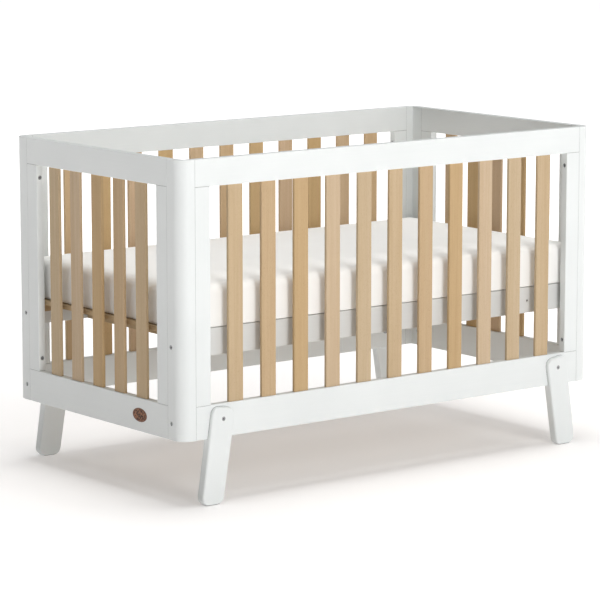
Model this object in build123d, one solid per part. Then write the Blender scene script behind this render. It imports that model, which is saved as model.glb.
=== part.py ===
from build123d import *
import math
import os

# A baby crib: four slatted panels bolted to four corner posts, a mattress base bolted between the
# posts, four slanted board legs and a foam mattress that lifts out.
# Millimetres. The origin is on the floor at the centre of the footprint. +X runs along the crib
# (right seen from the front), -Y is the front and +Z is up.

# ------------------------------------------------------------------ mattress and the well it lies in
mattress_length = 1320.0
mattress_width = 700.0
mattress_thickness = 113.0
mattress_corner_radius = 30.0
mattress_top_radius = 25.0
mattress_bottom_radius = 10.0
mattress_end_gap = 5.0        # to the panels at the head and foot
mattress_side_gap = 3.5       # to the front and back panels
mattress_rest_gap = 0.5       # left between the cover and the rails it lies on

# ------------------------------------------------------------------ frame
frame_height = 700.0          # posts and panels, lower edge to upper edge
leg_clearance = 168.0         # floor to the frame's lower edge
panel_thickness = 21.0
post_side_width = 44.0        # post's arm along the crib's length
post_end_width = 59.0         # post's arm along the crib's width
post_round = 32.0             # quarter round on the outer corner
post_inner_round = 3.0
post_edge_round = 1.2         # round the post's upper and lower ends
top_rail_height = 69.0
bottom_rail_height = 85.5
stile_width = 45.5
edge_round = 2.0              # eased edges that the hand meets
joint_arris = 0.8             # fine chamfer that shows where two boards meet

# ------------------------------------------------------------------ slats of the panels
slat_width = 45.0
slat_thickness = 9.0
slat_recess = 4.3             # slat's outer face behind the panel's outer face
slat_round = 2.0
slat_tenon = 15.0             # length of slat held in each rail
tenon_end_gap = 1.0
mortise_clearance = 0.1
side_slat_count = 11
end_slat_count = 5

# ------------------------------------------------------------------ mattress base
base_rail_height = 70.0
base_rail_thickness = 20.0
base_rail_level = 201.5       # rail's lower edge above the frame's lower edge
base_rail_margin = 4.7        # rail's inner face to the end of the post's arm that it bears on
base_drop = 192.0             # how much lower the spare holes hold the base
base_slat_width = 60.0
base_slat_thickness = 12.0
base_slat_sink = 0.5          # slat tops below the rails' upper edges
base_slat_count = 14
base_slat_end_gap = 4.0
base_slat_side_gap = 1.0
ledge_width = 20.0
ledge_height = 22.0
cross_rail_thickness = 20.0
cross_rail_offset = 198.0     # crib's end face to the cross rail's middle
ledge_joint_gap = 1.0

# ------------------------------------------------------------------ legs
leg_top_width = 70.0
leg_bottom_width = 66.0
leg_thickness = 26.0
leg_lap = 10.0                # thickness of leg in front of the rail
leg_head_height = 77.0        # leg's top above the frame's lower edge
leg_lean = 8.9                # degrees outward along the crib
leg_top_flat = 28.0           # straight top edge between the head's two rounds
leg_foot_round = 21.0
leg_outer_round = 5.0
leg_inner_round = 3.0
leg_bolt_offset = 120.5       # crib's end face to the leg bolt
leg_bolt_level = 48.4         # leg bolt above the frame's lower edge

# ------------------------------------------------------------------ fasteners
bolt_diameter = 6.0
bolt_hole_clearance = 0.3     # radial
thread_clearance = 0.05       # radial, between a thread and what it screws into
bolt_head_diameter = 10.0
bolt_head_height = 3.5
bolt_head_clearance = 0.5     # radial, round a sunk head
bolt_socket_size = 5.0        # hexagon across flats
bolt_socket_depth = 2.2
bolt_tip_clearance = 3.0
panel_bolt_inset = 33.5       # from the nearer rail's edge to the bolt
panel_bolt_sink = 6.0
panel_bolt_overrun = 5.5      # tip past the insert
insert_diameter = 10.0
insert_length = 15.0
base_bolt_height = 32.5       # above the base rail's lower edge
base_bolt_sink = 4.5
base_bolt_overrun = 1.5       # tip past the barrel nut
barrel_nut_diameter = 10.0
barrel_nut_length = 14.0
barrel_nut_setback = 33.0     # from the base rail's end
leg_bolt_sink = 4.5
leg_bolt_tip_gap = 4.5        # tip short of the rail's inner face
sleeve_diameter = 9.0
sleeve_length = 14.0
sleeve_flange_diameter = 15.0
sleeve_flange_thickness = 1.5
nut_slot_width = 1.5
nut_slot_depth = 1.0
dowel_diameter = 8.0
dowel_length = 36.0
stile_dowel_spacing = 22.0
leg_dowel_spacing = 34.0
screw_diameter = 3.5
screw_head_diameter = 7.0
screw_head_height = 3.0
screw_recess_width = 1.2
screw_recess_length = 4.0
screw_recess_depth = 1.5
screw_spacing = 2.0           # least wood between two screws that cross
ledge_screw_height = 6.0      # above the ledge's lower edge
ledge_screw_bite = 12.0       # length in the rail
ledge_screw_margin = 60.0     # from a ledge's end to its first screw
cross_screw_height = 33.5     # above the base rail's lower edge
cross_screw_bite = 40.0       # length in the cross rail

# ------------------------------------------------------------------ badge
badge_length = 61.0
badge_height = 35.0
badge_thickness = 2.5
badge_proud = 0.6
badge_rim = 2.5
badge_rim_step = 0.5
badge_clearance = 0.1
badge_offset = 181.0          # crib's front face to the badge's middle
badge_level = 42.4            # above the frame's lower edge

# ------------------------------------------------------------------ worked-out sizes
half_inner_length = mattress_length / 2 + mattress_end_gap
half_inner_width = mattress_width / 2 + mattress_side_gap
half_length = half_inner_length + panel_thickness
half_width = half_inner_width + panel_thickness
side_panel_length = 2 * (half_length - post_side_width)
end_panel_length = 2 * (half_width - post_end_width)
frame_bottom = leg_clearance
frame_top = frame_bottom + frame_height
opening_bottom = frame_bottom + bottom_rail_height
opening_top = frame_top - top_rail_height
panel_bolt_levels = (opening_bottom + panel_bolt_inset, opening_top - panel_bolt_inset)

base_rail_bottom = frame_bottom + base_rail_level
base_rail_top = base_rail_bottom + base_rail_height
base_rail_outer = half_width - post_end_width + base_rail_margin + base_rail_thickness
base_rail_middle = base_rail_outer - base_rail_thickness / 2
base_rail_inner = base_rail_outer - base_rail_thickness
base_slat_top = base_rail_top - base_slat_sink
base_slat_bottom = base_slat_top - base_slat_thickness
cross_rail_place = half_length - cross_rail_offset
base_bolt_level = base_rail_bottom + base_bolt_height
mattress_bottom = base_rail_top + mattress_rest_gap

bolt_hole_diameter = bolt_diameter + 2 * bolt_hole_clearance
bolt_sink_diameter = bolt_head_diameter + 2 * bolt_head_clearance
thread_hole_diameter = bolt_diameter + 2 * thread_clearance
panel_bolt_reach = insert_length + panel_bolt_overrun
panel_bolt_length = stile_width - panel_bolt_sink + panel_bolt_reach
base_bolt_reach = barrel_nut_setback + barrel_nut_diameter / 2 + base_bolt_overrun
base_bolt_length = panel_thickness - base_bolt_sink + base_bolt_reach
leg_bolt_length = leg_lap - leg_bolt_sink + panel_thickness - leg_bolt_tip_gap
ledge_screw_length = ledge_width + ledge_screw_bite
cross_screw_length = base_rail_thickness + cross_screw_bite
ledge_above_screw = ledge_height - ledge_screw_height - screw_diameter / 2
slat_screw_length = base_slat_thickness + ledge_above_screw - screw_spacing
cut_through = 1.0             # how far a cutter overshoots a face

ON_FLOOR = (Align.CENTER, Align.CENTER, Align.MIN)
HANGING = (Align.CENTER, Align.CENTER, Align.MAX)


# ------------------------------------------------------------------ helpers
def box(x_low, x_high, y_low, y_high, z_low, z_high):
    size = (x_high - x_low, y_high - y_low, z_high - z_low)
    return Pos(x_low, y_low, z_low) * Box(*size, align=(Align.MIN, Align.MIN, Align.MIN))


def rod(start, direction, diameter, length):
    """A round bar from a point, along a direction."""
    return Plane(origin=start, z_dir=direction) * Cylinder(diameter / 2, length, align=ON_FLOOR)


def drilled(start, direction, diameter, depth):
    """A cutter for a round hole whose mouth is at start; it begins a little outside the face."""
    away = Vector(*direction).normalized() * cut_through
    return rod(Vector(*start) - away, direction, diameter, depth + cut_through)


def eased_board(length, depth, height, round_radius):
    """A board along X: long edges rounded, ends finely chamfered. y from 0 to depth, z from 0 up."""
    piece = box(-length / 2, length / 2, 0, depth, 0, height)
    piece = fillet(piece.edges().filter_by(Axis.X), round_radius)
    return chamfer(piece.faces().filter_by(Axis.X).edges(), joint_arris)


def socket_bolt(seat, head_direction, length):
    """A hexagon-socket bolt. The underside of its head is at seat and the shank runs away from it."""
    shank = Cylinder(bolt_diameter / 2, length, align=HANGING)
    head = Cylinder(bolt_head_diameter / 2, bolt_head_height, align=ON_FLOOR)
    hexagon = RegularPolygon(bolt_socket_size / 2, 6, major_radius=False)
    socket = Pos(0, 0, bolt_head_height - bolt_socket_depth) * extrude(hexagon, bolt_socket_depth)
    return Plane(origin=seat, z_dir=head_direction) * (shank + head - socket)


def bolt_cutter(seat, head_direction, length, sink):
    """The clearance hole of a socket bolt with its sunk head."""
    shank = Cylinder(bolt_hole_diameter / 2, length, align=HANGING)
    head = Cylinder(bolt_sink_diameter / 2, sink + cut_through, align=ON_FLOOR)
    return Plane(origin=seat, z_dir=head_direction) * (shank + head)


def wood_screw(mouth, direction, length, clearance=0.0):
    """A countersunk wood screw driven along a direction; with a clearance it is its hole's cutter."""
    shank_radius = screw_diameter / 2 + clearance
    head_radius = screw_head_diameter / 2 + clearance
    shank = Cylinder(shank_radius, length + clearance, align=ON_FLOOR)
    head = Cone(head_radius, shank_radius, screw_head_height, align=ON_FLOOR)
    piece = shank + head
    if clearance == 0:
        for turn in (0, 90):
            slot = Box(screw_recess_length, screw_recess_width, screw_recess_depth, align=ON_FLOOR)
            piece = piece - Rot(0, 0, turn) * slot
    return Plane(origin=mouth, z_dir=direction) * piece


def four_corners(piece):
    """The front-left piece and its mirror images at the other corners, by corner name."""
    front_right = mirror(piece, about=Plane.YZ)
    return {
        "front_left": piece,
        "front_right": front_right,
        "back_left": mirror(piece, about=Plane.XZ),
        "back_right": mirror(front_right, about=Plane.XZ),
    }


def save(name, *pieces):
    solids = [solid for piece in pieces for solid in piece.solids()]
    shape = solids[0] if len(solids) == 1 else Compound(children=solids)
    export_step(shape, f"parts/{name}.step")


# ------------------------------------------------------------------ panels
def slat_bar(middle, bottom, top, clearance):
    """An upright slat at one place along its panel; with a clearance it cuts the mortises."""
    half = slat_width / 2 + clearance
    outer = slat_recess - clearance
    inner = slat_recess + slat_thickness + clearance
    piece = box(middle - half, middle + half, outer, inner, bottom, top)
    return fillet(piece.edges().filter_by(Axis.Z), slat_round + clearance)


def stile_board(panel_length):
    """The left stile of a panel, between its two rails."""
    left = -panel_length / 2
    piece = box(left, left + stile_width, 0, panel_thickness, opening_bottom, opening_top)
    upright_edges = piece.edges().filter_by(Axis.Z).group_by(Axis.X)
    piece = fillet(upright_edges[-1], edge_round)
    joint_edges = piece.faces().sort_by(Axis.X)[0].edges().filter_by(Axis.Z)
    return chamfer(joint_edges, joint_arris)


def panel(panel_length, slat_count):
    """A panel along X with its outer face at y = 0. Left and right are as seen from outside."""
    left = -panel_length / 2
    middle_y = panel_thickness / 2
    jamb = left + stile_width
    opening = panel_length - 2 * stile_width
    slat_gap = (opening - slat_count * slat_width) / (slat_count + 1)
    first_slat = jamb + slat_gap + slat_width / 2
    slat_places = [first_slat + i * (slat_gap + slat_width) for i in range(slat_count)]

    slat_bottom = opening_bottom - slat_tenon
    slat_top = opening_top + slat_tenon
    slats = [slat_bar(place, slat_bottom, slat_top, 0) for place in slat_places]
    top_rail = eased_board(panel_length, panel_thickness, top_rail_height, edge_round)
    top_rail = Pos(0, 0, opening_top) * top_rail
    bottom_rail = eased_board(panel_length, panel_thickness, bottom_rail_height, edge_round)
    bottom_rail = Pos(0, 0, frame_bottom) * bottom_rail
    for place in slat_places:
        cutter = slat_bar(place, slat_bottom, slat_top + tenon_end_gap, mortise_clearance)
        top_rail = top_rail - cutter
        bottom_rail = bottom_rail - cutter

    left_stile = stile_board(panel_length)
    bolts = []
    for level in panel_bolt_levels:
        seat = (jamb - panel_bolt_sink, middle_y, level)
        left_stile = left_stile - bolt_cutter(seat, (1, 0, 0), stile_width, panel_bolt_sink)
        bolts.append(socket_bolt(seat, (1, 0, 0), panel_bolt_length))
    dowels = []
    for shift in (-stile_dowel_spacing / 2, stile_dowel_spacing / 2):
        for level in (opening_bottom, opening_top):
            start = (left + stile_width / 2 + shift, middle_y, level - dowel_length / 2)
            dowel = rod(start, (0, 0, 1), dowel_diameter, dowel_length)
            left_stile = left_stile - dowel
            dowels.append(dowel)

    right_stile = mirror(left_stile, about=Plane.YZ)
    bolts = bolts + [mirror(bolt, about=Plane.YZ) for bolt in bolts]
    dowels = dowels + [mirror(dowel, about=Plane.YZ) for dowel in dowels]
    for dowel in dowels:
        top_rail = top_rail - dowel
        bottom_rail = bottom_rail - dowel
    return {
        "top_rail": top_rail,
        "bottom_rail": bottom_rail,
        "left_stile": left_stile,
        "right_stile": right_stile,
        "slats": slats,
        "bolts": bolts,
        "dowels": dowels,
    }


def placed(pieces, location):
    """A panel's pieces, moved to their side of the crib."""
    moved = {}
    for name, piece in pieces.items():
        if isinstance(piece, list):
            moved[name] = [location * item for item in piece]
        else:
            moved[name] = location * piece
    return moved


# ------------------------------------------------------------------ corner posts
def corner_post():
    """The front-left post: an angle of two arms with a quarter-round outer corner."""
    outline = Polyline(
        (0, 0),
        (post_side_width, 0),
        (post_side_width, panel_thickness),
        (panel_thickness, panel_thickness),
        (panel_thickness, post_end_width),
        (0, post_end_width),
        close=True,
    )
    profile = make_face(outline)
    corners = profile.vertices()
    outer_corner = corners.sort_by_distance((0, 0, 0))[0]
    profile = fillet(outer_corner, post_round)
    inner_corner = profile.vertices().sort_by_distance((panel_thickness, panel_thickness, 0))[0]
    profile = fillet(inner_corner, post_inner_round)
    post = extrude(profile, frame_height)

    joint_faces = [post.faces().sort_by(Axis.X)[-1], post.faces().sort_by(Axis.Y)[-1]]
    joint_edges = [edge for face in joint_faces for edge in face.edges()]
    post = chamfer(joint_edges, joint_arris)
    side_arm_limit = post_side_width - 2 * joint_arris
    end_arm_limit = post_end_width - 2 * joint_arris
    end_edges = []
    for face in (post.faces().sort_by(Axis.Z)[0], post.faces().sort_by(Axis.Z)[-1]):
        for edge in face.edges():
            middle = edge.center()
            if middle.X < side_arm_limit and middle.Y < end_arm_limit:
                end_edges.append(edge)
    post = fillet(end_edges, post_edge_round)
    post = Pos(-half_length, -half_width, frame_bottom) * post

    insert_hole = insert_diameter + 2 * thread_clearance
    hole_depth = panel_bolt_reach + bolt_tip_clearance
    for level in panel_bolt_levels:
        side_mouth = (-half_length + post_side_width, -half_width + panel_thickness / 2, level)
        end_mouth = (-half_length + panel_thickness / 2, -half_width + post_end_width, level)
        for mouth, direction in ((side_mouth, (-1, 0, 0)), (end_mouth, (0, -1, 0))):
            post = post - drilled(mouth, direction, insert_hole, insert_length)
            post = post - drilled(mouth, direction, bolt_hole_diameter, hole_depth)
    for level in (base_bolt_level, base_bolt_level - base_drop):
        seat = (-half_length + base_bolt_sink, -base_rail_middle, level)
        post = post - bolt_cutter(seat, (-1, 0, 0), panel_thickness, base_bolt_sink)
    return post


def panel_inserts():
    """Threaded inserts of the front-left post, flush with its two joint faces."""
    inserts = []
    for level in panel_bolt_levels:
        side_mouth = (-half_length + post_side_width, -half_width + panel_thickness / 2, level)
        end_mouth = (-half_length + panel_thickness / 2, -half_width + post_end_width, level)
        for mouth, direction in ((side_mouth, (-1, 0, 0)), (end_mouth, (0, -1, 0))):
            body = rod(mouth, direction, insert_diameter, insert_length)
            thread = drilled(mouth, direction, thread_hole_diameter, insert_length + cut_through)
            inserts.append(body - thread)
    return inserts


# ------------------------------------------------------------------ legs
def leg_middle(height):
    """How far the leg's centre line is from the crib's end, at a height above the frame's lower edge."""
    return leg_bolt_offset + (height - leg_bolt_level) * math.tan(math.radians(leg_lean))


def slanted_leg():
    """The front-left leg: its head laps the bottom rail and the rest reaches back under the rail."""
    lean = math.radians(leg_lean)
    foot_half = leg_bottom_width / 2 / math.cos(lean)
    head_half = leg_top_width / 2
    head_middle = leg_middle(leg_head_height)
    outline = Polyline(
        (leg_middle(-leg_clearance) - foot_half, -leg_clearance),
        (leg_middle(-leg_clearance) + foot_half, -leg_clearance),
        (head_middle + head_half * math.cos(lean), leg_head_height - head_half * math.sin(lean)),
        (head_middle - head_half * math.cos(lean), leg_head_height + head_half * math.sin(lean)),
        close=True,
    )
    profile = make_face(outline)
    corners = profile.vertices().sort_by(Axis.Y)
    profile = fillet(corners[:2], leg_foot_round)
    head_corners = profile.vertices().sort_by(Axis.Y)[-2:]
    profile = fillet(head_corners, (leg_top_width - leg_top_flat) / 2)

    outer_y = -half_width - leg_lap
    inner_y = outer_y + leg_thickness
    leg = extrude(Plane.XZ * profile, leg_thickness)
    leg = Pos(-half_length, inner_y, frame_bottom) * leg
    leg = fillet(leg.faces().sort_by(Axis.Y)[0].edges(), leg_outer_round)
    leg = fillet(leg.faces().sort_by(Axis.Y)[-1].edges(), leg_inner_round)
    notch_top = frame_bottom + leg_head_height + head_half
    leg = leg - box(-half_length, 0, -half_width, inner_y + cut_through, frame_bottom, notch_top)

    leg = leg - bolt_cutter(leg_bolt_seat(), (0, -1, 0), leg_lap, leg_bolt_sink)
    for dowel in leg_dowels():
        leg = leg - dowel
    return leg


def leg_bolt_seat():
    x = -half_length + leg_bolt_offset
    y = -half_width - leg_lap + leg_bolt_sink
    return (x, y, frame_bottom + leg_bolt_level)


def leg_dowels():
    """Two dowels that stand in the front-left leg's shoulder and reach up into the rail."""
    shoulder_depth = leg_thickness - leg_lap
    dowels = []
    for shift in (-leg_dowel_spacing / 2, leg_dowel_spacing / 2):
        x = -half_length + leg_middle(0) + shift
        start = (x, -half_width + shoulder_depth / 2, frame_bottom - dowel_length / 2)
        dowels.append(rod(start, (0, 0, 1), dowel_diameter, dowel_length))
    return dowels


def sleeve_nut():
    """The front-left leg's nut: a sleeve let into the rail from inside, with a slotted flange."""
    x, _, z = leg_bolt_seat()
    inner_face = -half_inner_width
    sleeve = rod((x, inner_face, z), (0, -1, 0), sleeve_diameter, sleeve_length)
    flange = rod((x, inner_face, z), (0, 1, 0), sleeve_flange_diameter, sleeve_flange_thickness)
    bore = rod((x, inner_face - sleeve_length - cut_through, z), (0, 1, 0), thread_hole_diameter,
               sleeve_length + cut_through)
    slot_bottom = inner_face + sleeve_flange_thickness - nut_slot_depth
    slot = box(x - sleeve_diameter / 2, x + sleeve_diameter / 2, slot_bottom,
               slot_bottom + 2 * nut_slot_depth, z - nut_slot_width / 2, z + nut_slot_width / 2)
    return sleeve + flange - bore - slot


def leg_rail_cutters():
    """What the front-left leg's fastenings take out of the bottom rail."""
    x, _, z = leg_bolt_seat()
    through = drilled((x, -half_width, z), (0, 1, 0), bolt_hole_diameter, panel_thickness)
    sleeve_hole = drilled((x, -half_inner_width, z), (0, -1, 0),
                          sleeve_diameter + 2 * thread_clearance, sleeve_length + thread_clearance)
    return [through, sleeve_hole] + leg_dowels()


# ------------------------------------------------------------------ mattress base
def base_bolt_seat():
    return (-half_length + base_bolt_sink, -base_rail_middle, base_bolt_level)


def barrel_nut():
    """The front-left cross dowel nut, let into the base rail from its outer face."""
    x = -half_inner_length + barrel_nut_setback
    start = (x, -base_rail_middle - barrel_nut_length / 2, base_bolt_level)
    body = rod(start, (0, 1, 0), barrel_nut_diameter, barrel_nut_length)
    bore = rod((x - barrel_nut_diameter, -base_rail_middle, base_bolt_level), (1, 0, 0),
               thread_hole_diameter, 2 * barrel_nut_diameter)
    slot = box(x - barrel_nut_diameter, x + barrel_nut_diameter, start[1] - nut_slot_depth,
               start[1] + nut_slot_depth, base_bolt_level - nut_slot_width / 2,
               base_bolt_level + nut_slot_width / 2)
    return body - bore - slot


def front_base_rail():
    rail = eased_board(2 * half_inner_length, base_rail_thickness, base_rail_height, edge_round)
    rail = Pos(0, -base_rail_outer, base_rail_bottom) * rail
    bolt_depth = base_bolt_reach + bolt_tip_clearance
    nut_depth = (base_rail_thickness + barrel_nut_length) / 2 + thread_clearance
    for side in (-1, 1):
        end = (side * half_inner_length, -base_rail_middle, base_bolt_level)
        nut = (side * (half_inner_length - barrel_nut_setback), -base_rail_outer, base_bolt_level)
        rail = rail - drilled(end, (-side, 0, 0), bolt_hole_diameter, bolt_depth)
        rail = rail - drilled(nut, (0, 1, 0), barrel_nut_diameter + 2 * thread_clearance, nut_depth)
    return rail


def ledge_spans():
    """Start and end along X of the battens on one rail: they stop at the cross rails."""
    near_cross = cross_rail_thickness / 2 + ledge_joint_gap
    stops = (-half_inner_length, -cross_rail_place, cross_rail_place, half_inner_length)
    starts = (stops[0] + ledge_joint_gap, stops[1] + near_cross, stops[2] + near_cross)
    ends = (stops[1] - near_cross, stops[2] - near_cross, stops[3] - ledge_joint_gap)
    return list(zip(starts, ends))


def ledge_screw_places():
    """Two screws near the ends of each batten, and one in the middle of a long one."""
    places = []
    for start, end in ledge_spans():
        places.append(start + ledge_screw_margin)
        places.append(end - ledge_screw_margin)
        if end - start > half_inner_length:
            places.append((start + end) / 2)
    return places


def base_slat_places():
    first = -half_inner_length + base_slat_end_gap + base_slat_width / 2
    pitch = -2 * first / (base_slat_count - 1)
    return [first + i * pitch for i in range(base_slat_count)]


def front_ledge_screws(clearance=0.0):
    level = base_slat_bottom - ledge_height + ledge_screw_height
    mouth_y = -base_rail_inner + ledge_width
    return [wood_screw((x, mouth_y, level), (0, -1, 0), ledge_screw_length, clearance)
            for x in ledge_screw_places()]


def front_slat_screws(clearance=0.0):
    middle_y = -base_rail_inner + ledge_width / 2
    return [wood_screw((x, middle_y, base_slat_top), (0, 0, -1), slat_screw_length, clearance)
            for x in base_slat_places()]


def front_cross_screws(clearance=0.0):
    level = base_rail_bottom + cross_screw_height
    return [wood_screw((x, -base_rail_outer, level), (0, 1, 0), cross_screw_length, clearance)
            for x in (-cross_rail_place, cross_rail_place)]


def front_ledges():
    ledges = []
    for start, end in ledge_spans():
        batten = box(start, end, -base_rail_inner, -base_rail_inner + ledge_width,
                     base_slat_bottom - ledge_height, base_slat_bottom)
        ledges.append(chamfer(batten.edges().filter_by(Axis.X).sort_by(Axis.Y)[-2:], joint_arris))
    return ledges


def base_slats():
    half_span = base_rail_inner - base_slat_side_gap
    slats = []
    for x in base_slat_places():
        half = base_slat_width / 2
        slat = box(x - half, x + half, -half_span, half_span, base_slat_bottom, base_slat_top)
        slats.append(fillet(slat.edges().filter_by(Axis.Y), edge_round))
    return slats


def left_cross_rail():
    half = cross_rail_thickness / 2
    rail = box(-cross_rail_place - half, -cross_rail_place + half, -base_rail_inner, base_rail_inner,
               base_rail_bottom, base_slat_bottom)
    return fillet(rail.edges().filter_by(Axis.Y), edge_round)


def cut_by_all(piece, cutters):
    """Take away only the cutters whose boxes meet the piece's box."""
    own = piece.bounding_box()
    for cutter in cutters:
        other = cutter.bounding_box()
        apart = (other.min.X > own.max.X or other.max.X < own.min.X
                 or other.min.Y > own.max.Y or other.max.Y < own.min.Y
                 or other.min.Z > own.max.Z or other.max.Z < own.min.Z)
        if not apart:
            piece = piece - cutter
    return piece


# ------------------------------------------------------------------ mattress and badge
def mattress():
    block = Box(mattress_length, mattress_width, mattress_thickness, align=ON_FLOOR)
    piece = Pos(0, 0, mattress_bottom) * block
    piece = fillet(piece.edges().filter_by(Axis.Z), mattress_corner_radius)
    piece = fillet(piece.faces().sort_by(Axis.Z)[-1].edges(), mattress_top_radius)
    return fillet(piece.faces().sort_by(Axis.Z)[0].edges(), mattress_bottom_radius)


def badge_disc(grow, start_x, thickness):
    """An oval plate on the left end, from start_x towards the inside of the crib."""
    middle = Plane(
        origin=(start_x, -half_width + badge_offset, frame_bottom + badge_level),
        x_dir=(0, -1, 0),
        z_dir=(-1, 0, 0),
    )
    oval = Ellipse(badge_length / 2 + grow, badge_height / 2 + grow)
    return extrude(middle * oval, -thickness)


def badge():
    outer_x = -half_length - badge_proud
    plate = badge_disc(0, outer_x, badge_thickness)
    field = badge_disc(-badge_rim, outer_x - cut_through, badge_rim_step + cut_through)
    return plate - field


# ------------------------------------------------------------------ build and write
os.makedirs("parts", exist_ok=True)

side_panel = panel(side_panel_length, side_slat_count)
end_panel = panel(end_panel_length, end_slat_count)
front = placed(side_panel, Pos(0, -half_width, 0))
back = placed(side_panel, Pos(0, half_width, 0) * Rot(0, 0, 180))
left_end = placed(end_panel, Pos(-half_length, 0, 0) * Rot(0, 0, -90))
right_end = placed(end_panel, Pos(half_length, 0, 0) * Rot(0, 0, 90))

for cutter in leg_rail_cutters():
    corner_cutters = four_corners(cutter)
    for corner in ("front_left", "front_right"):
        front["bottom_rail"] = front["bottom_rail"] - corner_cutters[corner]
    for corner in ("back_left", "back_right"):
        back["bottom_rail"] = back["bottom_rail"] - corner_cutters[corner]
recess_depth = badge_thickness - badge_proud
recess = badge_disc(badge_clearance, -half_length - cut_through, recess_depth + cut_through)
left_end["bottom_rail"] = left_end["bottom_rail"] - recess

# A back or end panel is turned, so the crib's own left or front is named here for each stile.
stile_names = {
    "front": (front, "left", "right"),
    "back": (back, "right", "left"),
    "left_end": (left_end, "back", "front"),
    "right_end": (right_end, "front", "back"),
}
for side, (pieces, left_name, right_name) in stile_names.items():
    save(f"{side}_top_rail", pieces["top_rail"])
    save(f"{side}_bottom_rail", pieces["bottom_rail"])
    save(f"{side}_{left_name}_stile", pieces["left_stile"])
    save(f"{side}_{right_name}_stile", pieces["right_stile"])
for number, slat in enumerate(front["slats"], start=1):
    save(f"front_slat_{number:02d}", slat)
save("back_slats", *back["slats"])
save("left_end_slats", *left_end["slats"])
save("right_end_slats", *right_end["slats"])
save("side_panel_bolts", *front["bolts"], *back["bolts"])
save("end_panel_bolts", *left_end["bolts"], *right_end["bolts"])
save("panel_dowels", *front["dowels"], *back["dowels"], *left_end["dowels"], *right_end["dowels"])

for corner, post in four_corners(corner_post()).items():
    save(f"corner_post_{corner}", post)
inserts = [piece for insert in panel_inserts() for piece in four_corners(insert).values()]
save("panel_bolt_inserts", *inserts)

for corner, leg in four_corners(slanted_leg()).items():
    save(f"leg_{corner}", leg)
leg_bolt = socket_bolt(leg_bolt_seat(), (0, -1, 0), leg_bolt_length)
save("leg_bolts", *four_corners(leg_bolt).values())
save("leg_sleeve_nuts", *four_corners(sleeve_nut()).values())
save("leg_dowels", *[piece for dowel in leg_dowels() for piece in four_corners(dowel).values()])

screw_cutters = front_ledge_screws(thread_clearance) + front_cross_screws(thread_clearance)
slat_screw_cutters = front_slat_screws(thread_clearance)
all_cutters = screw_cutters + slat_screw_cutters
both_sides = all_cutters + [mirror(cutter, about=Plane.XZ) for cutter in all_cutters]
base_front_rail = cut_by_all(front_base_rail(), screw_cutters)
base_front_ledges = [cut_by_all(ledge, all_cutters) for ledge in front_ledges()]
base_left_cross_rail = cut_by_all(left_cross_rail(), both_sides)
save("base_front_rail", base_front_rail)
save("base_back_rail", mirror(base_front_rail, about=Plane.XZ))
save("base_front_ledge", *base_front_ledges)
save("base_back_ledge", *[mirror(ledge, about=Plane.XZ) for ledge in base_front_ledges])
save("base_cross_rail_left", base_left_cross_rail)
save("base_cross_rail_right", mirror(base_left_cross_rail, about=Plane.YZ))
save("base_slats", *[cut_by_all(slat, both_sides) for slat in base_slats()])
base_bolt = socket_bolt(base_bolt_seat(), (-1, 0, 0), base_bolt_length)
save("base_bolts", *four_corners(base_bolt).values())
save("base_barrel_nuts", *four_corners(barrel_nut()).values())
for name, screws in (
    ("ledge_screws", front_ledge_screws()),
    ("base_slat_screws", front_slat_screws()),
    ("cross_rail_screws", front_cross_screws()),
):
    save(name, *screws, *[mirror(screw, about=Plane.XZ) for screw in screws])

save("mattress", mattress())
save("badge", badge())
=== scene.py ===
import bpy
import bmesh
import math
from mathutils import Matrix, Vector


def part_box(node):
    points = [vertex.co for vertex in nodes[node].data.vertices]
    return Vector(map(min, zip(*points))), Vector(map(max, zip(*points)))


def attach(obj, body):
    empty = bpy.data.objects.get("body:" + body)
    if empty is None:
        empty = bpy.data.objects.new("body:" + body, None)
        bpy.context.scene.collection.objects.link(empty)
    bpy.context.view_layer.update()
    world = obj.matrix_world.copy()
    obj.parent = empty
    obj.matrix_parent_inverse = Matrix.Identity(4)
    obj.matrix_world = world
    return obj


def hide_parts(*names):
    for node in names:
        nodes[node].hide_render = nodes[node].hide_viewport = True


# A baby crib in white satin paint, with natural beech slats and a soft white mattress.
# Metres. The frame gives every place and size. This script adds the materials, the mattress,
# the light and the camera.

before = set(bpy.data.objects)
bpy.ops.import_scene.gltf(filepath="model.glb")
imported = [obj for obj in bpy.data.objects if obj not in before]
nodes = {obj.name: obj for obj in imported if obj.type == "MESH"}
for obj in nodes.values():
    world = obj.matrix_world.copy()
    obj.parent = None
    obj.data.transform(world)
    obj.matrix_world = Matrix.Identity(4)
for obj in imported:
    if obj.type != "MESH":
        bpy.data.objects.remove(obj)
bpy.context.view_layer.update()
X, Y, Z = range(3)

# ------------------------------------------------------------------ camera and light
CAMERA_AIM = Vector((-0.018, 0.010, 0.410))
CAMERA_AZIMUTH = -37.904
CAMERA_ELEVATION = 9.242
CAMERA_DISTANCE = 7.797
CAMERA_LENS = 173.58
SENSOR_WIDTH = 36.0
CAMERA_CLIP_END = 200.0

WHITE = (1.0, 1.0, 1.0, 1)
WORLD_LIGHT = 0.08            # what the world gives the crib
BACKDROP_LIGHT = 1.0          # what the camera sees of the world
FLOOR_SIZE = 80.0
FLOOR_CELLS = 8
FLOOR_GLOW_NEAR = 0.300
FLOOR_GLOW_FAR = 0.93
FLOOR_GLOW_START = 0.78       # distance from the crib's middle at which the glow begins to grow
FLOOR_GLOW_END = 3.2
FLOOR_GLOW_COLOUR = (1.0, 0.985, 0.985, 1)
FLOOR_COLOUR = (0.80, 0.785, 0.77, 1)
FLOOR_PATCH_COLOUR = (0.78, 0.775, 0.77, 1)

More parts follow.
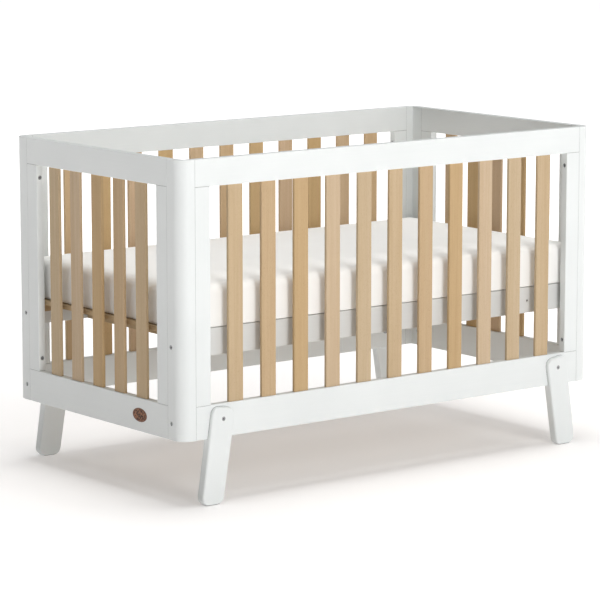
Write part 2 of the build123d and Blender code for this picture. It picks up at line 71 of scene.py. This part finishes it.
LIGHT_DISTANCE = 12.0
AREA_LIGHTS = {
    # name: (azimuth and elevation in degrees, size in metres, power in watts)
    "top": (0.0, 88.0, 5.0, 784.0),
    "front_high": (0.0, 45.0, 6.0, 20.0),
    "front": (-7.0, 22.0, 5.2, 352.0),
    "front_low": (-3.0, 9.0, 3.4, 235.0),
    "front_right": (60.0, 20.0, 6.0, 150.0),
    "right": (95.0, 30.0, 6.0, 160.0),
    "back": (150.0, 70.0, 8.0, 150.0),
    "back_low": (178.0, 20.0, 6.0, 104.0),
}

# ------------------------------------------------------------------ colours (linear)
PAINT_LIGHT = (0.790, 0.815, 0.808, 1)
PAINT_SHADE = (0.760, 0.786, 0.780, 1)
SHADED_BASE_PAINT_PALE = (0.700, 0.705, 0.690, 1)     # the mattress base's rails, darker and greyer: painted shade for where they sit, under the mattress and behind the slats
SHADED_BASE_PAINT_DEEP = (0.660, 0.665, 0.650, 1)
# the colour of the painted shade in joints, nooks and bolt sockets
PAINTED_SHADE_COLOUR = (0.10, 0.10, 0.10, 1)
NOOK_REACH = 0.003            # joints and holes narrower than this get painted shade
NOOK_SAMPLES = 8
SLAT_TONES = [                # front and left end, taken in turn
    (0.560, 0.425, 0.268, 1),
    (0.550, 0.400, 0.240, 1),
    (0.535, 0.375, 0.200, 1),
    (0.585, 0.450, 0.305, 1),
    (0.560, 0.435, 0.285, 1),
]
PAINTED_LIGHT_SLAT_TONES = [         # back and right end: brighter, warmer tones, painted light to lift the shade their inner faces are seen in
    (0.630, 0.450, 0.265, 1),
    (0.620, 0.435, 0.225, 1),
    (0.640, 0.470, 0.310, 1),
    (0.610, 0.425, 0.215, 1),
    (0.625, 0.460, 0.290, 1),
]
BASE_TONES = [                # the rough wood of the mattress base, and the dowels
    (0.50, 0.37, 0.22, 1),
    (0.46, 0.33, 0.19, 1),
    (0.53, 0.41, 0.26, 1),
]
COVER_COLOUR = (0.960, 0.957, 0.936, 1)
COVER_SHADE = (0.925, 0.920, 0.896, 1)
STEEL_LIGHT = (0.52, 0.52, 0.53, 1)
STEEL_DARK = (0.34, 0.34, 0.35, 1)
# the reach of the painted shade in the bolt sockets
SOCKET_REACH = 0.004
BRONZE_LIGHT = (0.36, 0.165, 0.090, 1)
BRONZE_DARK = (0.035, 0.022, 0.017, 1)
BRONZE_RIM = (0.20, 0.095, 0.060, 1)

# Tints that darken the wood where each layer of its figure shows.
FIGURE_TINT = (0.86, 0.80, 0.70, 1)
BAND_TINT = (0.80, 0.72, 0.60, 1)
FIBRE_TINT = (0.78, 0.70, 0.60, 1)
FLECK_TINT = (0.58, 0.44, 0.30, 1)
FIGURE_SHIFT = 40.0           # how far apart two boards' figures are taken, at most

# ------------------------------------------------------------------ roughness, low and high
PAINT_ROUGHNESS = (0.36, 0.48)
COVER_ROUGHNESS = (0.82, 0.95)
STEEL_ROUGHNESS = (0.30, 0.50)
BRONZE_ROUGHNESS = (0.32, 0.50)
SLAT_ROUGHNESS = 0.55         # of wood: the middle, from which it strays a little
BASE_SLAT_ROUGHNESS = 0.66
BATTEN_ROUGHNESS = 0.68
DOWEL_ROUGHNESS = 0.6

# ------------------------------------------------------------------ rows of boards
SIDE_SLATS = 11
END_SLATS = 5
BASE_SLATS = 14
BASE_SLAT_WIDTH = 0.060
BATTEN_PITCH = 0.3            # pitches that give neighbouring pieces different tones
CROSS_RAIL_PITCH = 0.5
DOWEL_PITCH = 0.03


# ------------------------------------------------------------------ helpers
MIX_SHARE, MIX_A, MIX_B, MIX_RESULT = 0, 6, 7, 2     # the Mix node's sockets for colours


class Shader:
    """One material under construction. Each method adds a node and gives back its output."""

    def __init__(self, name):
        self.material = bpy.data.materials.new(name)
        self.material.use_nodes = True
        self.tree = self.material.node_tree
        self.tree.nodes.clear()
        self.place = self.add("TexCoord").outputs["Object"]

    def add(self, kind, inputs=None, **settings):
        node = self.tree.nodes.new("ShaderNode" + kind)
        for name, value in settings.items():
            setattr(node, name, value)
        for key, value in (inputs or {}).items():
            if isinstance(value, bpy.types.NodeSocket):
                self.tree.links.new(value, node.inputs[key])
            else:
                node.inputs[key].default_value = value
        return node

    def maths(self, operation, a, b=0.0):
        return self.add("Math", {0: a, 1: b}, operation=operation).outputs[0]

    def vector_maths(self, operation, a, b):
        return self.add("VectorMath", {0: a, 1: b}, operation=operation).outputs[0]

    def part(self, axis):
        return self.add("SeparateXYZ", {0: self.place}).outputs[axis]

    def noise(self, scales, detail=3.0, roughness=0.5, distortion=0.0, shift=None):
        """Noise whose grain size differs by axis: scales are features per metre."""
        place = self.vector_maths("MULTIPLY", self.place, scales)
        if shift is not None:
            place = self.vector_maths("ADD", place, shift)
        return self.add("TexNoise", {
            "Vector": place,
            "Scale": 1.0,
            "Detail": detail,
            "Roughness": roughness,
            "Distortion": distortion,
        }).outputs[0]

    def spread(self, value, low, high, to_low=0.0, to_high=1.0):
        """Stretches a value from low..high to a new range, held at its ends."""
        inputs = {0: value, 1: low, 2: high, 3: to_low, 4: to_high}
        return self.add("MapRange", inputs, clamp=True).outputs[0]

    def mix(self, share, a, b, blend="MIX"):
        inputs = {MIX_SHARE: share, MIX_A: a, MIX_B: b}
        return self.add("Mix", inputs, data_type="RGBA", blend_type=blend).outputs[MIX_RESULT]

    def bump(self, height, strength, distance, normal=None):
        inputs = {"Height": height, "Strength": strength, "Distance": distance}
        if normal is not None:
            inputs["Normal"] = normal
        return self.add("Bump", inputs).outputs[0]

    def openness(self, reach):
        """1 on open faces, lower down in joints and holes narrower than the reach."""
        node = self.add("AmbientOcclusion", {"Distance": reach}, samples=NOOK_SAMPLES)
        return node.outputs["AO"]

    def finish(self, **inputs):
        named = {name.replace("_", " "): value for name, value in inputs.items()}
        shader = self.add("BsdfPrincipled", named)
        self.add("OutputMaterial", {"Surface": shader.outputs[0]})
        return self.material


def new_object(name, data):
    made = bpy.data.objects.new(name, data)
    bpy.context.scene.collection.objects.link(made)
    return made


def even(value):
    """The same value along every axis."""
    return (value, value, value)


def along(axis, lengthwise, across):
    """Noise scales for a board whose grain runs along one axis."""
    scales = [across, across, across]
    scales[axis] = lengthwise
    return scales


# ------------------------------------------------------------------ materials
def white_paint(name, grain, light=PAINT_LIGHT, shade=PAINT_SHADE, painted_shade_strength=1.0):
    """Satin paint sprayed on wood: a fine peel, the grain just showing, painted shade in the
    joints and nooks.
    """
    s = Shader(name)
    peel = s.noise(even(700), detail=2)
    cloud = s.noise(even(5), detail=2)
    grain_lines = s.noise(along(grain, lengthwise=7, across=260), detail=4, roughness=0.6)
    tone = s.maths("ADD", cloud, s.maths("MULTIPLY", grain_lines, 0.35))
    colour = s.mix(s.spread(tone, 0.5, 0.85), light, shade)
    normal = s.bump(grain_lines, strength=0.05, distance=0.0004)
    normal = s.bump(peel, strength=0.06, distance=0.0002, normal=normal)
    # painted shade: darker where ambient occlusion finds joints, inside corners and holes
    painted_shade = s.spread(s.openness(NOOK_REACH), 0.35, 0.80, painted_shade_strength, 0.0)
    return s.finish(
        Base_Color=s.mix(painted_shade, colour, PAINTED_SHADE_COLOUR),
        Roughness=s.spread(s.maths("ADD", peel, grain_lines), 0.7, 1.3, *PAINT_ROUGHNESS),
        Normal=normal,
        Specular_IOR_Level=0.45,
    )


def wood(name, grain, tones, row_axis, first, pitch, seed, roughness=SLAT_ROUGHNESS):
    """Natural wood boards in a row. Each board takes the next tone and a figure of its own."""
    s = Shader(name)
    number = s.maths("DIVIDE", s.maths("SUBTRACT", s.part(row_axis), first), pitch)
    number = s.maths("FLOOR", s.maths("ADD", number, 0.5))
    count = float(len(tones))
    which = s.maths("FLOORED_MODULO", number, count)
    ramp = s.add("ValToRGB", {0: s.maths("DIVIDE", s.maths("ADD", which, 0.5), count)})
    ramp.color_ramp.interpolation = "CONSTANT"
    while len(ramp.color_ramp.elements) < len(tones):
        ramp.color_ramp.elements.new(0.5)
    for i, tone in enumerate(tones):
        ramp.color_ramp.elements[i].position = i / len(tones)
        ramp.color_ramp.elements[i].color = tone
    chance = s.add("TexWhiteNoise", {"W": s.maths("ADD", number, seed)}, noise_dimensions="1D")
    shift = s.vector_maths("MULTIPLY", chance.outputs["Color"], even(FIGURE_SHIFT))

    figure = s.noise(
        along(grain, lengthwise=1.4, across=38), detail=3, distortion=0.7, shift=shift)
    bands = s.noise(
        along(grain, lengthwise=2.2, across=140),
        detail=4, roughness=0.6, distortion=0.3, shift=shift)
    fibre = s.noise(
        along(grain, lengthwise=18, across=1100), detail=4, roughness=0.65, shift=shift)
    flecks = s.noise(along(grain, lengthwise=190, across=1500), detail=1, shift=shift)
    fleck = s.spread(flecks, 0.63, 0.70)

    colour = ramp.outputs[0]
    for share, tint in (
        (s.spread(figure, 0.36, 0.64, 0.0, 0.30), FIGURE_TINT),
        (s.spread(bands, 0.42, 0.62, 0.0, 0.22), BAND_TINT),
        (s.spread(fibre, 0.40, 0.66, 0.0, 0.20), FIBRE_TINT),
        (s.maths("MULTIPLY", fleck, 0.34), FLECK_TINT),
    ):
        colour = s.mix(share, colour, tint, "MULTIPLY")
    normal = s.bump(fibre, strength=0.10, distance=0.0003)
    normal = s.bump(fleck, strength=0.12, distance=-0.0002, normal=normal)
    return s.finish(
        Base_Color=colour,
        Roughness=s.spread(fibre, 0.3, 0.7, roughness - 0.06, roughness + 0.08),
        Normal=normal,
        Specular_IOR_Level=0.35,
    )


def cover_fabric():
    """A fine white knit with a soft nap."""
    s = Shader("cover_fabric")
    loops_per_metre = 620.0
    height = None
    for axis in range(3):
        wave = s.maths("SINE", s.maths("MULTIPLY", s.part(axis), loops_per_metre * 2 * math.pi))
        height = wave if height is None else s.maths("ADD", height, wave)
    loops = s.spread(height, -2.0, 2.0)
    nap = s.noise(even(1500), detail=2)
    cloud = s.noise(even(9), detail=3)
    tone = s.spread(s.maths("ADD", cloud, s.maths("MULTIPLY", nap, 0.5)), 0.5, 1.0)
    tone = s.maths("MULTIPLY", tone, 0.8)
    normal = s.bump(loops, strength=0.18, distance=0.0004)
    normal = s.bump(nap, strength=0.15, distance=0.0003, normal=normal)
    return s.finish(
        Base_Color=s.mix(tone, COVER_COLOUR, COVER_SHADE),
        Roughness=s.spread(nap, 0.3, 0.7, *COVER_ROUGHNESS),
        Normal=normal,
        Sheen_Weight=0.25,
        Sheen_Roughness=0.5,
        Specular_IOR_Level=0.2,
    )


def zinc_steel():
    """Zinc-plated steel with fine turning marks, with painted shade down in the sockets."""
    s = Shader("zinc_steel")
    marks = s.noise(even(900), detail=4)
    blotch = s.noise(even(220), detail=3)
    plating = s.mix(s.spread(blotch, 0.35, 0.65), STEEL_LIGHT, STEEL_DARK)
    # painted shade: dark down in the bolt sockets, where ambient occlusion is low
    painted_socket_shade = s.spread(s.openness(SOCKET_REACH), 0.30, 0.75, 1.0, 0.0)
    return s.finish(
        Base_Color=s.mix(painted_socket_shade, plating, PAINTED_SHADE_COLOUR),
        Metallic=0.9,
        Roughness=s.spread(marks, 0.3, 0.7, *STEEL_ROUGHNESS),
        Normal=s.bump(marks, strength=0.15, distance=0.0002),
    )


def bronze():
    """The badge: an aged, hammered field inside a brighter rim."""
    s = Shader("bronze")
    low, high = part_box("badge")
    middle = (low + high) / 2
    half = (high - low) / 2
    sideways = s.maths("DIVIDE", s.maths("SUBTRACT", s.part(Y), middle.y), half.y)
    upward = s.maths("DIVIDE", s.maths("SUBTRACT", s.part(Z), middle.z), half.z)
    squares = s.maths(
        "ADD", s.maths("MULTIPLY", sideways, sideways), s.maths("MULTIPLY", upward, upward))
    rim = s.spread(s.maths("SQRT", squares), 0.86, 0.90)
    hammered = s.noise(even(260), detail=3, roughness=0.6)
    brushed = s.noise(along(Y, lengthwise=90, across=2000), detail=3)
    field = s.mix(s.spread(hammered, 0.42, 0.64), BRONZE_DARK, BRONZE_LIGHT)
    dents = s.maths("MULTIPLY", hammered, s.spread(rim, 0.0, 1.0, 1.0, 0.0))
    normal = s.bump(dents, strength=0.6, distance=0.0006)
    return s.finish(
        Base_Color=s.mix(rim, field, BRONZE_RIM),
        Metallic=0.75,
        Roughness=s.spread(brushed, 0.3, 0.7, *BRONZE_ROUGHNESS),
        Normal=s.bump(brushed, strength=0.12, distance=0.0002, normal=normal),
    )


def floor_material():
    """The pale studio floor. Its own light grows further out and keeps it white to the edge."""
    s = Shader("studio_floor")
    distance = s.add("VectorMath", {0: s.place}, operation="LENGTH").outputs["Value"]
    cloud = s.noise(even(0.7), detail=2)
    speckle = s.noise(even(90), detail=2)
    patches = s.spread(cloud, 0.3, 0.7, 0.0, 0.3)
    return s.finish(
        Base_Color=s.mix(patches, FLOOR_COLOUR, FLOOR_PATCH_COLOUR),
        Roughness=s.spread(speckle, 0.3, 0.7, 0.75, 0.85),
        Specular_IOR_Level=0.1,
        Emission_Color=FLOOR_GLOW_COLOUR,
        Emission_Strength=s.spread(
            distance, FLOOR_GLOW_START, FLOOR_GLOW_END, FLOOR_GLOW_NEAR, FLOOR_GLOW_FAR),
    )


# ------------------------------------------------------------------ materials on the CAD nodes
def dress(name, material):
    mesh = nodes[name].data
    mesh.materials.clear()
    mesh.materials.append(material)


def row_of(name, axis, board_width, count):
    """Middle of the first board and the pitch of a row of equal boards in one node."""
    low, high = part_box(name)
    first = low[axis] + board_width / 2
    return first, (high[axis] - low[axis] - board_width) / (count - 1)


def dress_frame():
    paints = [white_paint(f"white_paint_{letter}", axis) for axis, letter in enumerate("xyz")]
    # the base rails' paint is darker and greyer, painted shade for their place under the
    # mattress; their joints get no further painted shade
    shaded_base_paint = white_paint("shaded_base_paint", X, SHADED_BASE_PAINT_PALE, SHADED_BASE_PAINT_DEEP, painted_shade_strength=0.0)
    for name in nodes:
        end = name.startswith(("left_end", "right_end"))
        if "post" in name or "stile" in name or name.startswith("leg_"):
            dress(name, paints[Z])
        elif name.endswith(("top_rail", "bottom_rail")):
            dress(name, paints[Y if end else X])
        elif name in ("base_front_rail", "base_back_rail"):
            dress(name, shaded_base_paint)


def dress_slats():
    low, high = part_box("front_slat_01")
    width = high.x - low.x
    side_row = (X, *row_of("back_slats", X, width, SIDE_SLATS))
    end_row = (Y, *row_of("left_end_slats", Y, width, END_SLATS))
    front = wood("beech_front", Z, SLAT_TONES, *side_row, seed=3.0)
    # the back and the right end take the brighter tones: painted light against the shade they
    # stand in
    back = wood("beech_back", Z, PAINTED_LIGHT_SLAT_TONES, *side_row, seed=31.0)
    left = wood("beech_left", Z, SLAT_TONES, *end_row, seed=57.0)
    right = wood("beech_right", Z, PAINTED_LIGHT_SLAT_TONES, *end_row, seed=83.0)
    for name in nodes:
        if name.startswith("front_slat_"):
            dress(name, front)
    dress("back_slats", back)
    dress("left_end_slats", left)
    dress("right_end_slats", right)


def dress_base():
    slat_row = (X, *row_of("base_slats", X, BASE_SLAT_WIDTH, BASE_SLATS))
    slats = wood(
        "base_slat_wood", Y, BASE_TONES, *slat_row, seed=11.0, roughness=BASE_SLAT_ROUGHNESS)
    batten = wood(
        "batten_wood", X, BASE_TONES, Y, 0.0, BATTEN_PITCH,
        seed=19.0, roughness=BATTEN_ROUGHNESS)
    cross = wood(
        "cross_rail_wood", Y, BASE_TONES, X, 0.0, CROSS_RAIL_PITCH,
        seed=23.0, roughness=BATTEN_ROUGHNESS)
    dress("base_slats", slats)
    dress("base_front_ledge", batten)
    dress("base_back_ledge", batten)
    dress("base_cross_rail_left", cross)
    dress("base_cross_rail_right", cross)


def dress_fastenings():
    steel = zinc_steel()
    dowel_wood = wood(
        "dowel_wood", Z, BASE_TONES, X, 0.0, DOWEL_PITCH, seed=29.0, roughness=DOWEL_ROUGHNESS)
    for name in nodes:
        if name.endswith(("bolts", "nuts", "inserts", "screws")):
            dress(name, steel)
        elif name.endswith("dowels"):
            dress(name, dowel_wood)
    dress("badge", bronze())


# ------------------------------------------------------------------ mattress
COVER_INSET = 0.0045          # the unswollen cover inside the mattress's space
COVER_SWELL = 0.0050          # most that the foam pushes the cover out
COVER_CORNER_ROUND = 0.030
COVER_TOP_ROUND = 0.024
COVER_BOTTOM_ROUND = 0.003
COVER_CELL = 0.012            # the cloth's grid, closer together at the edges
COVER_EDGE_STEPS = [0.0, 0.003, 0.008, 0.015, 0.022, 0.031]     # from each edge
REST_GAP = 0.0003             # kept free inside the mattress's space
SWELL_FRAMES = 20
SWELL_PRESSURE = 4.0
CLOTH_QUALITY = 4
SMOOTH_FACTOR = 0.5
SMOOTH_ROUNDS = 3


def edge_graded(low, high):
    """Places from low to high, close together near both ends."""
    steps = [step for step in COVER_EDGE_STEPS if step < (high - low) / 2]
    inner_low = low + steps[-1]
    inner_high = high - steps[-1]
    count = max(1, round((inner_high - inner_low) / COVER_CELL))
    middle = [inner_low + (inner_high - inner_low) * i / count for i in range(1, count)]
    return [low + step for step in steps] + middle + [high - step for step in reversed(steps)]


def rounded_place(point, low, high):
    """A place on a box's surface, moved to the same box with its edges rounded."""
    inner = Vector((
        min(max(point.x, low.x + COVER_CORNER_ROUND), high.x - COVER_CORNER_ROUND),
        min(max(point.y, low.y + COVER_CORNER_ROUND), high.y - COVER_CORNER_ROUND),
    ))
    across = Vector((point.x, point.y)) - inner
    inset = COVER_CORNER_ROUND - max(abs(across.x), abs(across.y))
    upper = point.z > (low.z + high.z) / 2
    radius = COVER_TOP_ROUND if upper else COVER_BOTTOM_ROUND
    depth = high.z - point.z if upper else point.z - low.z
    if inset < radius and depth < radius:
        corner = Vector((inset - radius, depth - radius))
        corner = corner.normalized() * max(abs(corner.x), abs(corner.y))
        inset = radius + corner.x
        depth = radius + corner.y
    if across.length > 0:
        inner = inner + across.normalized() * (COVER_CORNER_ROUND - inset)
    return Vector((inner.x, inner.y, high.z - depth if upper else low.z + depth))


def rounded_block(name, low, high):
    """A closed box with rounded edges and corners, in a grid close enough for cloth."""
    block = bmesh.new()
    places = [edge_graded(low[axis], high[axis]) for axis in range(3)]
    known = {}

    def vertex(i, j, k):
        if (i, j, k) not in known:
            point = Vector((places[0][i], places[1][j], places[2][k]))
            known[i, j, k] = block.verts.new(rounded_place(point, low, high))
        return known[i, j, k]

    for axis in range(3):
        others = [other for other in range(3) if other != axis]
        for side in (0, len(places[axis]) - 1):
            for u in range(len(places[others[0]]) - 1):
                for v in range(len(places[others[1]]) - 1):
                    corners = []
                    for du, dv in ((0, 0), (1, 0), (1, 1), (0, 1)):
                        index = [0, 0, 0]
                        index[axis] = side
                        index[others[0]] = u + du
                        index[others[1]] = v + dv
                        corners.append(vertex(*index))
                    block.faces.new(corners)
    bmesh.ops.recalc_face_normals(block, faces=block.faces[:])
    mesh = bpy.data.meshes.new(name)
    block.to_mesh(mesh)
    block.free()
    return new_object(name, mesh)


def apply_modifiers(piece):
    evaluated = piece.evaluated_get(bpy.context.evaluated_depsgraph_get())
    mesh = bpy.data.meshes.new_from_object(evaluated)
    piece.modifiers.clear()
    piece.data = mesh


def swell(piece):
    """The cover pushed out by the foam, as cloth under pressure."""
    cloth = piece.modifiers.new("swell", "CLOTH")
    cloth.settings.use_pressure = True
    cloth.settings.uniform_pressure_force = SWELL_PRESSURE
    cloth.settings.effector_weights.gravity = 0.0
    cloth.settings.quality = CLOTH_QUALITY
    scene = bpy.context.scene
    for step in range(1, SWELL_FRAMES + 1):
        scene.frame_set(step)
    apply_modifiers(piece)
    scene.frame_set(1)


def make_mattress():
    """The soft mattress. Its cover swells a little and stays inside the mattress's space."""
    low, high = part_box("mattress")
    inset = Vector((COVER_INSET, COVER_INSET, 0))
    lift = Vector((0, 0, REST_GAP))
    drop = Vector((0, 0, COVER_INSET))
    pad = rounded_block("mattress_cover", low + inset + lift, high - inset - drop)
    start = [vertex.co.copy() for vertex in pad.data.vertices]
    swell(pad)
    limit_low = low + Vector(even(REST_GAP))
    limit_high = high - Vector((REST_GAP, REST_GAP, 0))
    for vertex, before in zip(pad.data.vertices, start):
        move = vertex.co - before
        if move.length > COVER_SWELL:
            move = move.normalized() * COVER_SWELL
        place = before + move
        for axis in range(3):
            place[axis] = min(max(place[axis], limit_low[axis]), limit_high[axis])
        vertex.co = place
    smooth = pad.modifiers.new("smooth", "SMOOTH")
    smooth.factor = SMOOTH_FACTOR
    smooth.iterations = SMOOTH_ROUNDS
    subdivision = pad.modifiers.new("subdivision", "SUBSURF")
    subdivision.levels = 1
    subdivision.render_levels = 1
    apply_modifiers(pad)
    pad.data.polygons.foreach_set("use_smooth", [True] * len(pad.data.polygons))
    pad.data.materials.clear()
    pad.data.materials.append(cover_fabric())
    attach(pad, "mattress")
    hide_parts("mattress")


# ------------------------------------------------------------------ studio
def direction(azimuth, elevation):
    """Unit vector from the crib to a light or the camera. Azimuth 0 is front, 90 the right."""
    a = math.radians(azimuth)
    e = math.radians(elevation)
    return Vector((math.sin(a) * math.cos(e), -math.cos(a) * math.cos(e), math.sin(e)))


def stand_off(piece, away, distance):
    """Puts a light or the camera at a distance, looking back at the camera's aim."""
    piece.location = CAMERA_AIM + away * distance
    piece.rotation_mode = "QUATERNION"
    piece.rotation_quaternion = away.to_track_quat("Z", "Y")


def make_floor():
    mesh = bpy.data.meshes.new("floor")
    grid = bmesh.new()
    bmesh.ops.create_grid(
        grid, x_segments=FLOOR_CELLS, y_segments=FLOOR_CELLS, size=FLOOR_SIZE / 2)
    grid.to_mesh(mesh)
    grid.free()
    mesh.materials.append(floor_material())
    floor = new_object("floor", mesh)


def make_world():
    world = bpy.data.worlds.new("studio")
    bpy.context.scene.world = world
    world.use_nodes = True
    tree = world.node_tree
    tree.nodes.clear()
    light = tree.nodes.new("ShaderNodeBackground")
    light.inputs["Strength"].default_value = WORLD_LIGHT
    seen = tree.nodes.new("ShaderNodeBackground")
    seen.inputs["Strength"].default_value = BACKDROP_LIGHT
    for background in (light, seen):
        background.inputs["Color"].default_value = WHITE
    path = tree.nodes.new("ShaderNodeLightPath")
    mix = tree.nodes.new("ShaderNodeMixShader")
    tree.links.new(path.outputs["Is Camera Ray"], mix.inputs[0])
    tree.links.new(light.outputs[0], mix.inputs[1])
    tree.links.new(seen.outputs[0], mix.inputs[2])
    output = tree.nodes.new("ShaderNodeOutputWorld")
    tree.links.new(mix.outputs[0], output.inputs["Surface"])


def make_lights():
    for name, (azimuth, elevation, size, power) in AREA_LIGHTS.items():
        data = bpy.data.lights.new(name, "AREA")
        data.shape = "SQUARE"
        data.size = size
        data.energy = power
        light = new_object(name, data)
        stand_off(light, direction(azimuth, elevation), LIGHT_DISTANCE)


def make_camera():
    data = bpy.data.cameras.new("camera")
    data.lens = CAMERA_LENS
    data.sensor_width = SENSOR_WIDTH
    data.clip_end = CAMERA_CLIP_END
    camera = new_object("camera", data)
    stand_off(camera, direction(CAMERA_AZIMUTH, CAMERA_ELEVATION), CAMERA_DISTANCE)
    bpy.context.scene.camera = camera


# ------------------------------------------------------------------ build
make_camera()
make_world()
make_floor()
make_lights()
bpy.context.scene.view_settings.view_transform = "Standard"
dress_frame()
dress_slats()
dress_base()
dress_fastenings()
make_mattress()
